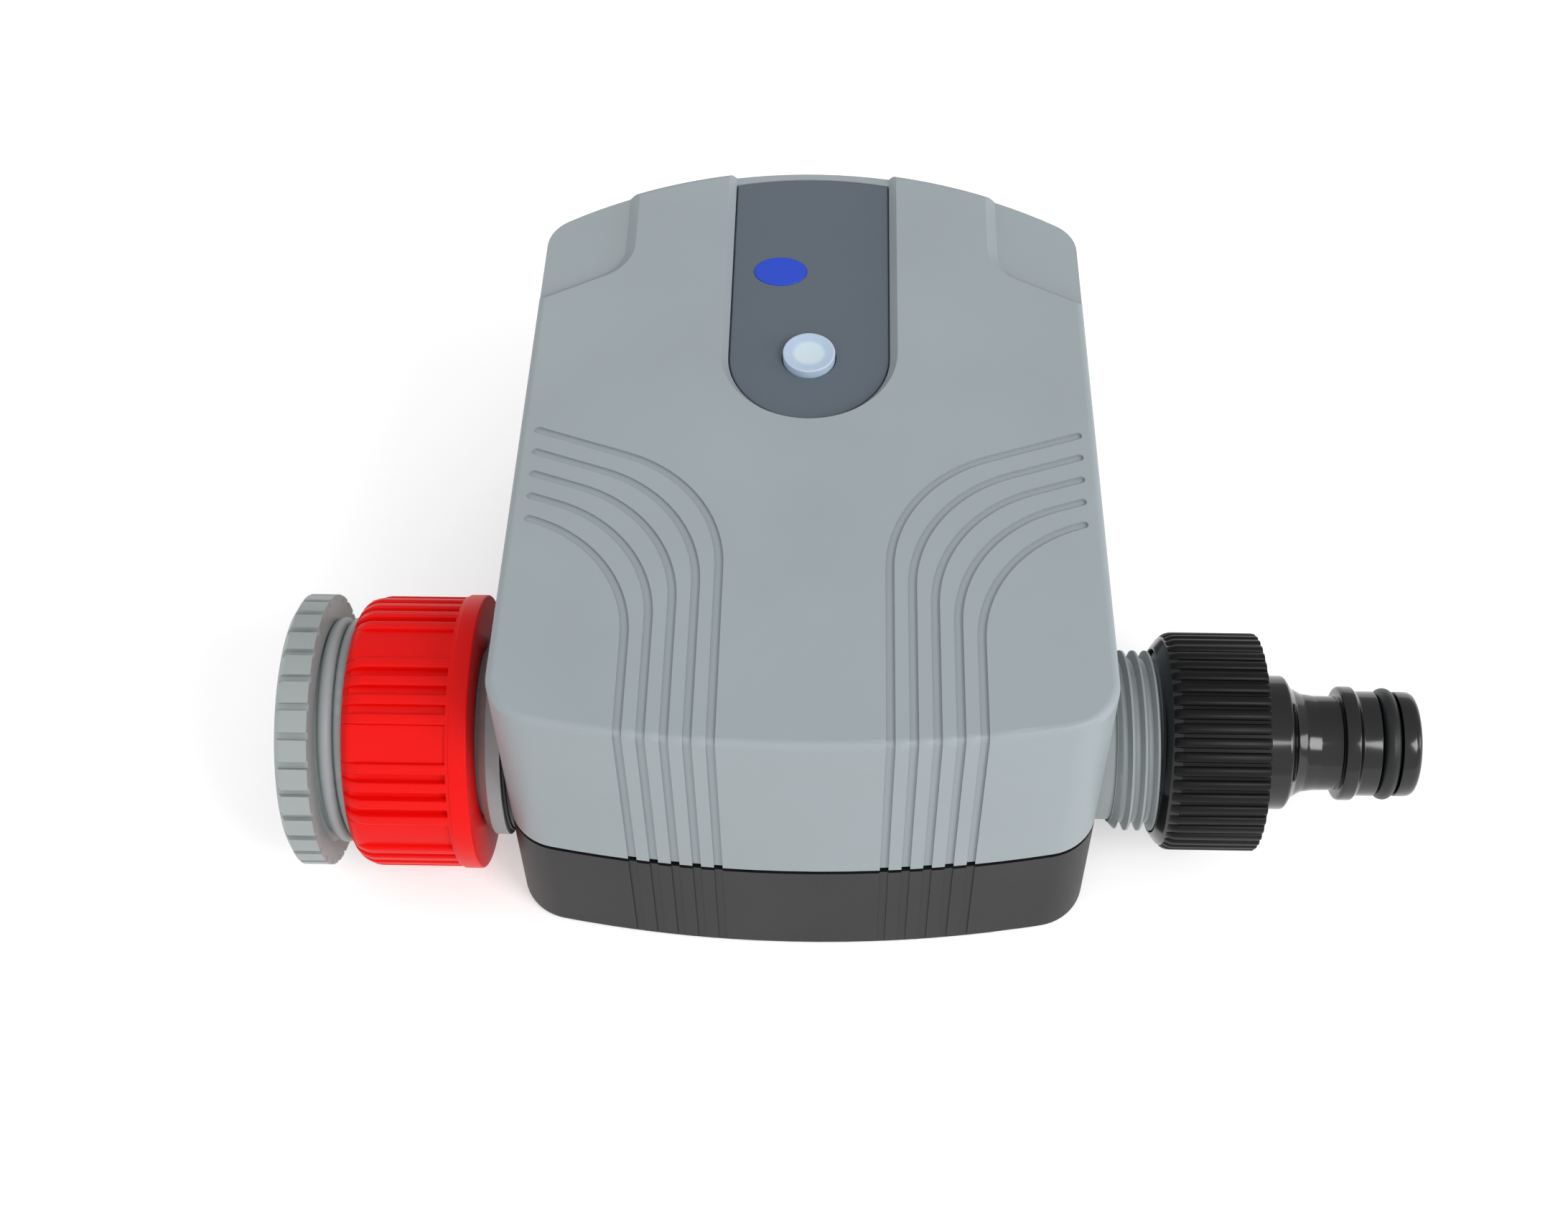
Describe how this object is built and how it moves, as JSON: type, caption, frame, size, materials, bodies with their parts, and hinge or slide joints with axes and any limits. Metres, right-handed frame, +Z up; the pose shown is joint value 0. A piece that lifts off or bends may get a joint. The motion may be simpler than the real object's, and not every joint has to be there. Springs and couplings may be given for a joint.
{
  "type": "smart water timer",
  "caption": "Battery water timer for a garden tap: grey case with panel and button, motor-driven ball valve, red swivel nut with reducer ring, and a black click-on hose nose.",
  "frame": {"origin": "on the underside of the base, straight below the middle of the water pipe", "axes": "+X along the water pipe from the tap to the hose, +Y to the case's rounded rear end, +Z up through the control panel"},
  "size_m": [0.1635, 0.1088, 0.055],
  "materials": {
    "cover_grey": "satin",
    "base_dark": "satin",
    "panel_slate": "satin",
    "badge_blue": "gloss",
    "button_clear": "gloss",
    "pipe_grey": "satin",
    "ring_grey": "satin",
    "nut_red": "satin",
    "connector_black": "satin",
    "rubber_black": "matte",
    "screw_steel": "satin",
    "contact_nickel": "satin",
    "ball_chrome": "polished",
    "stem_brass": "satin",
    "seal_white": "satin",
    "gear_acetal": "satin",
    "gearbox_black": "satin",
    "motor_can": "satin",
    "board_green": "satin",
    "socket_ivory": "satin",
    "capacitor_sleeve": "gloss",
    "lead_red": "satin",
    "lead_black": "satin",
    "cell_jacket": "gloss",
    "plunger_black": "satin"
  },
  "bodies": {
    "case": {"top_cover": "cover_grey", "base_shell": "base_dark", "case_gasket": "rubber_black", "case_screws": "screw_steel", "display_panel": "panel_slate", "badge": "badge_blue", "tact_switch": "gearbox_black", "status_led": "socket_ivory", "circuit_board": "board_green", "board_screws": "screw_steel", "radio_module": "contact_nickel", "capacitor": "capacitor_sleeve", "lead_sockets": "socket_ivory", "motor_leads": "lead_red", "battery_leads": "lead_black", "batteries": "cell_jacket", "battery_contacts": "contact_nickel", "battery_springs": "contact_nickel", "valve_body": "pipe_grey", "ball_seats": "seal_white", "seat_retainer": "seal_white", "motor": "motor_can", "gear_pins": "screw_steel", "gearbox_housing": "gearbox_black", "gearbox_lid": "gearbox_black", "lid_screws": "screw_steel", "gearbox_screws": "screw_steel", "inlet_grommet": "rubber_black", "outlet_grommet": "rubber_black", "snap_ring": "screw_steel", "inlet_washer": "rubber_black"},
    "button": {"push_button": "button_clear", "switch_plunger": "plunger_black"},
    "valve_spindle": {"valve_ball": "ball_chrome", "valve_stem": "stem_brass", "stem_o_rings": "rubber_black", "output_gear": "gear_acetal"},
    "second_gear": {"second_gear": "gear_acetal"},
    "first_gear": {"first_gear": "gear_acetal"},
    "motor_rotor": {"motor_pinion": "stem_brass", "motor_shaft": "screw_steel"},
    "inlet_nut": {"inlet_nut": "nut_red"},
    "filter": {"filter_washer": "rubber_black", "filter_screen": "screw_steel"},
    "reducer_ring": {"reducer_ring": "ring_grey"},
    "outlet_washer": {"outlet_washer": "rubber_black"},
    "hose_connector": {"hose_connector": "connector_black", "nose_o_ring": "rubber_black"},
    "battery_door": {"battery_door": "base_dark", "door_seal": "rubber_black", "door_screws": "screw_steel"}
  },
  "joints": [
    {"name": "button_press", "type": "slide", "parent": "case", "child": "button", "axis": [0, 0, -1], "range_m": [0, 0.0005], "stiffness_N_per_m": 400},
    {"name": "ball_turn", "type": "hinge", "parent": "case", "child": "valve_spindle", "pos_m": [0, 0, 0.0222], "axis": [0, 0, 1], "range_deg": [0, 90]},
    {"name": "second_gear_turn", "type": "hinge", "parent": "case", "child": "second_gear", "pos_m": [-0.0141, 0.00513, 0.045], "axis": [0, 0, 1], "range_deg": [-361, 1]},
    {"name": "first_gear_turn", "type": "hinge", "parent": "case", "child": "first_gear", "pos_m": [-0.00429, 0.01396, 0.045], "axis": [0, 0, 1], "range_deg": [-1, 1225]},
    {"name": "motor_turn", "type": "hinge", "parent": "case", "child": "motor_rotor", "pos_m": [0.008, 0.0188, 0.041], "axis": [0, 0, 1], "range_deg": [-4163, 1]},
    {"name": "nut_swivel", "type": "hinge", "parent": "case", "child": "inlet_nut", "pos_m": [-0.056, 0, 0.0222], "axis": [1, 0, 0], "continuous": true},
    {"name": "reducer_travel", "type": "slide", "parent": "inlet_nut", "child": "filter", "axis": [-1, 0, 0], "range_m": [0, 0.0049]},
    {"name": "reducer_turn", "type": "hinge", "parent": "filter", "child": "reducer_ring", "pos_m": [-0.07, 0, 0.0222], "axis": [-1, 0, 0], "range_deg": [-1, 765]},
    {"name": "connector_travel", "type": "slide", "parent": "case", "child": "outlet_washer", "axis": [1, 0, 0], "range_m": [0, 0.0056]},
    {"name": "connector_turn", "type": "hinge", "parent": "outlet_washer", "child": "hose_connector", "pos_m": [0.06, 0, 0.0222], "axis": [1, 0, 0], "range_deg": [-1, 1113]},
    {"name": "door_lift", "type": "slide", "parent": "case", "child": "battery_door", "axis": [0, 0, -1], "range_m": [0, 0.02]}
  ],
  "couplings": [
    {"joint": "second_gear_turn", "follows": "ball_turn", "ratio": -4},
    {"joint": "first_gear_turn", "follows": "ball_turn", "ratio": 13.6},
    {"joint": "motor_turn", "follows": "ball_turn", "ratio": -46.24},
    {"joint": "reducer_turn", "follows": "reducer_travel", "rad_per_m": 2721.2},
    {"joint": "connector_turn", "follows": "connector_travel", "rad_per_m": 3463.7}
  ]
}
